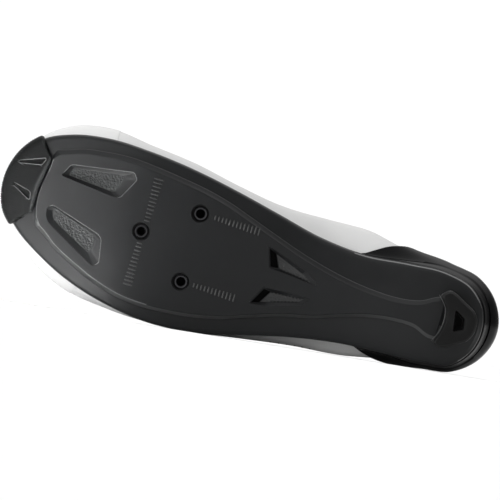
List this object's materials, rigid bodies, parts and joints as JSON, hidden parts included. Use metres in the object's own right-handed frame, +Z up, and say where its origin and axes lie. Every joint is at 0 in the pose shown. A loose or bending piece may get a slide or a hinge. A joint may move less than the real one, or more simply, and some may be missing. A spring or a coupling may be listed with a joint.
{
  "type": "road cycling shoe",
  "caption": "White road cycling shoe for the right foot, with a stiff black sole that takes a bolted cleat, lying on its outer side.",
  "frame": {"origin": "centre of the bounding box in plan, on the floor", "axes": "+X from the toe towards the heel, -Y out of the sole, +Z up from the outer side of the foot to the inner side"},
  "size_m": [0.2812, 0.095, 0.1034],
  "materials": {
    "sole": "satin moulded composite",
    "rubber": "matt",
    "upper": "white microfibre, matt",
    "heel_cup": "glossy",
    "tongue": "knitted cloth",
    "insole": "cloth-faced foam",
    "strap": "white microfibre, matt",
    "insert": "satin"
  },
  "bodies": {
    "root": {"sole": "sole", "toe_guard": "rubber", "heel_pad": "rubber", "upper": "upper", "heel_cup": "heel_cup", "tongue": "tongue", "insole": "insole", "strap_forefoot": "strap", "strap_instep": "strap", "cleat_insert_front": "insert", "cleat_insert_inner": "insert", "cleat_insert_outer": "insert"}
  },
  "joints": []
}
